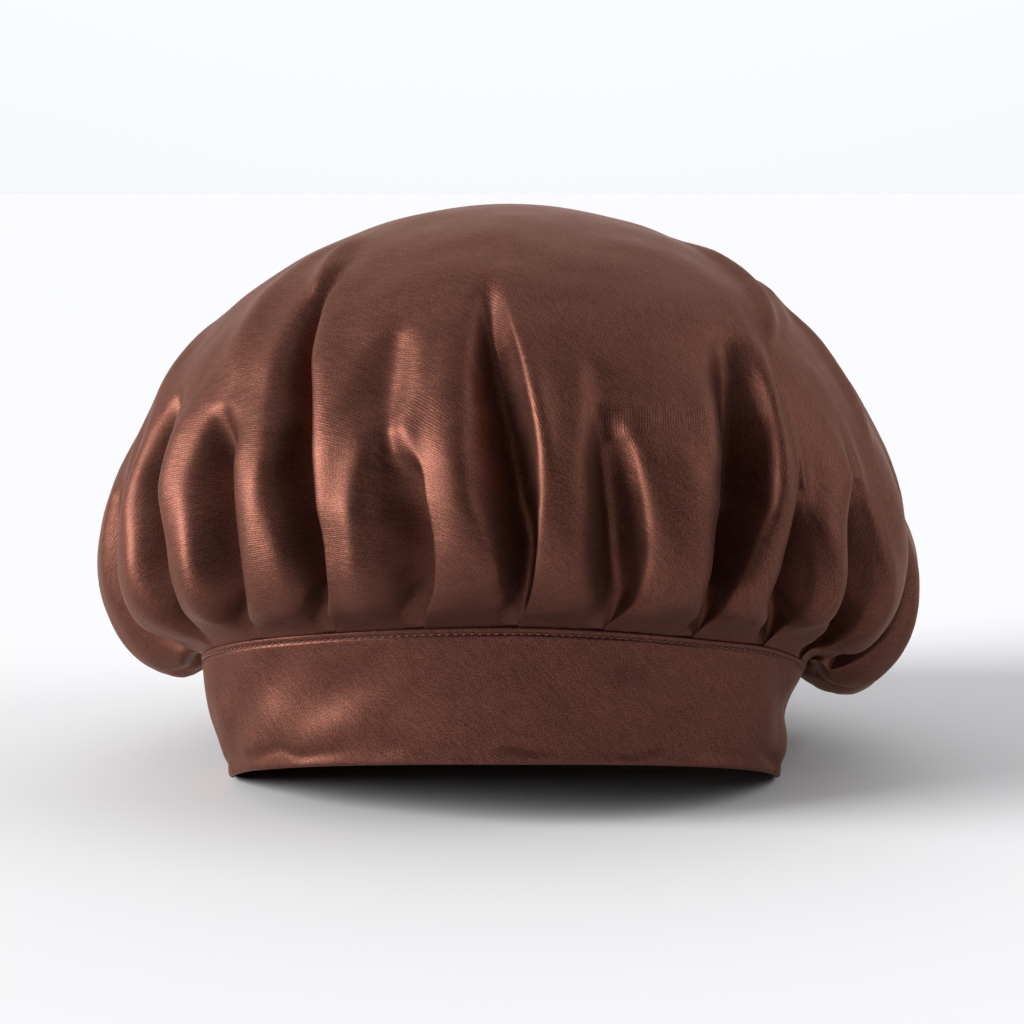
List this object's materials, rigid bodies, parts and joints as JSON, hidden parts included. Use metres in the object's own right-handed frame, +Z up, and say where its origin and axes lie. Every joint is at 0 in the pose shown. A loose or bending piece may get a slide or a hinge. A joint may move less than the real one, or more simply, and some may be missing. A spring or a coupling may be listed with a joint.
{
  "type": "sleep bonnet",
  "caption": "Soft satin sleep bonnet: a full round crown pleated onto a flat head band, lying open side down with its front edge lifted.",
  "frame": {"origin": "middle of the bonnet's bounding box, on the surface it rests on", "axes": "+Z up, -Y to the front of the band, +X to the right as seen from the front"},
  "size_m": [0.2994, 0.2776, 0.205],
  "materials": {
    "crown_satin": "brown satin weave",
    "band_satin": "brown satin weave"
  },
  "bodies": {
    "root": {"crown": "crown_satin", "band": "band_satin"}
  },
  "joints": []
}
